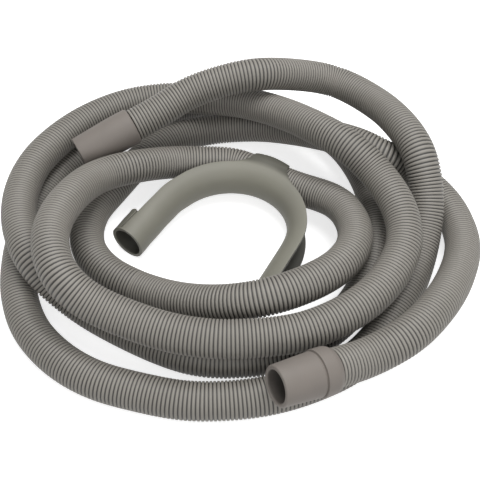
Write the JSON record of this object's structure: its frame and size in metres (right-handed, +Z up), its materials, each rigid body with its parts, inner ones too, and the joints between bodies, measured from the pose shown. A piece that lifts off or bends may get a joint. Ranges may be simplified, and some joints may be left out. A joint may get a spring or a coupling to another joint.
{
  "type": "washing machine drain hose",
  "caption": "Coiled corrugated drain hose with a plain cuff, a stepped cuff and a clipped-on U-bend guide, lying loose on the floor.",
  "frame": {"origin": "centre of the coil's outline on the floor", "axes": "+Z up from the floor, +X along the coil's widest way, the two cuffs' mouths towards -X"},
  "size_m": [0.3444, 0.3328, 0.0871],
  "materials": {
    "hose_plastic": "satin grey corrugated plastic",
    "cuff_rubber": "smooth warm grey rubber",
    "guide_plastic": "satin green-grey moulded plastic"
  },
  "bodies": {
    "root": {"corrugated_hose": "hose_plastic", "straight_cuff": "cuff_rubber", "stepped_cuff": "cuff_rubber", "u_bend_guide": "guide_plastic"}
  },
  "joints": []
}
